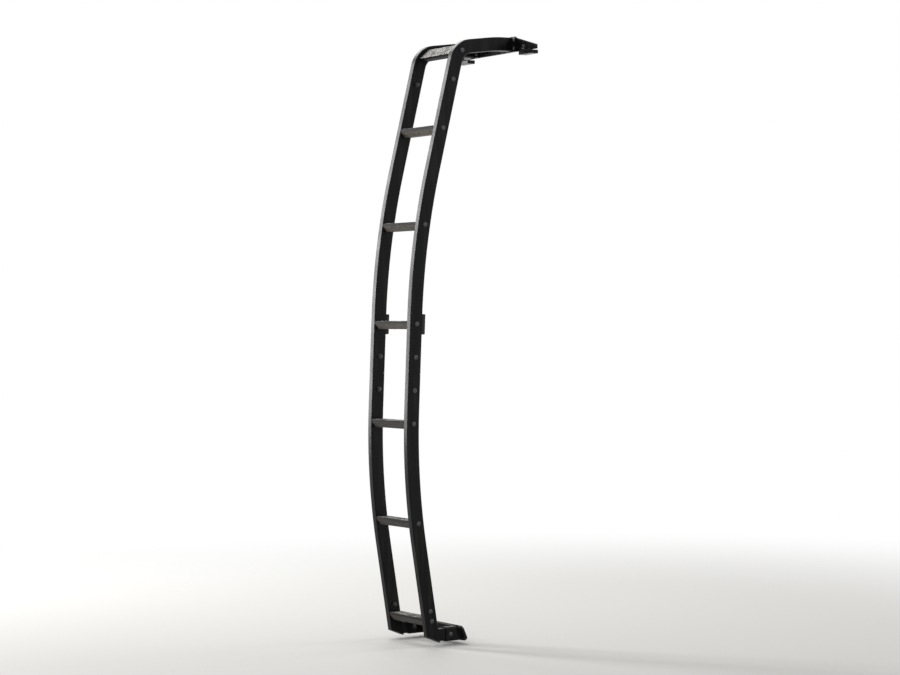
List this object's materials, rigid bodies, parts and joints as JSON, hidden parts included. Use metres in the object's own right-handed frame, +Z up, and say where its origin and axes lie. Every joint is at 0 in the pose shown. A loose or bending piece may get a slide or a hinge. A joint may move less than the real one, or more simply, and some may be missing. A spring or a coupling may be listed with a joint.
{
  "type": "van rack ladder",
  "caption": "Fixed side ladder for a van: two bent box-tube stiles with ribbed treads, hung from the rail of a roof rack and held off the sill by short arms.",
  "frame": {"origin": "middle of the flat back of the rack plate, which lies on the side rail of the roof rack", "axes": "+Z up, +Y into the vehicle, +X to the right of a person who faces the ladder"},
  "size_m": [0.5, 0.4625, 1.9762],
  "materials": {
    "black_powder_coat": "satin",
    "tread_coat": "matt",
    "sleeve_metal": "mill",
    "rubber": "matt",
    "cap_plastic": "matt"
  },
  "bodies": {
    "root": {"rack_plate": "black_powder_coat", "rack_lug_left": "black_powder_coat", "rack_lug_right": "black_powder_coat", "arm_flange_left": "black_powder_coat", "arm_flange_right": "black_powder_coat", "stile_upper_left": "black_powder_coat", "stile_upper_right": "black_powder_coat", "stile_lower_left": "black_powder_coat", "stile_lower_right": "black_powder_coat", "splice_sleeve_left": "sleeve_metal", "splice_sleeve_right": "sleeve_metal", "top_rung": "tread_coat", "rung_1": "tread_coat", "rung_2": "tread_coat", "rung_3": "tread_coat", "rung_4": "tread_coat", "rung_5": "tread_coat", "rung_6": "tread_coat", "stand_off_pad_left": "rubber", "stand_off_pad_right": "rubber", "foot_arm_left": "black_powder_coat", "foot_arm_right": "black_powder_coat", "foot_shoe_left": "black_powder_coat", "foot_shoe_right": "black_powder_coat", "sill_plate": "black_powder_coat", "sill_pad": "rubber", "foot_cap_left": "cap_plastic", "foot_cap_right": "cap_plastic"}
  },
  "joints": []
}
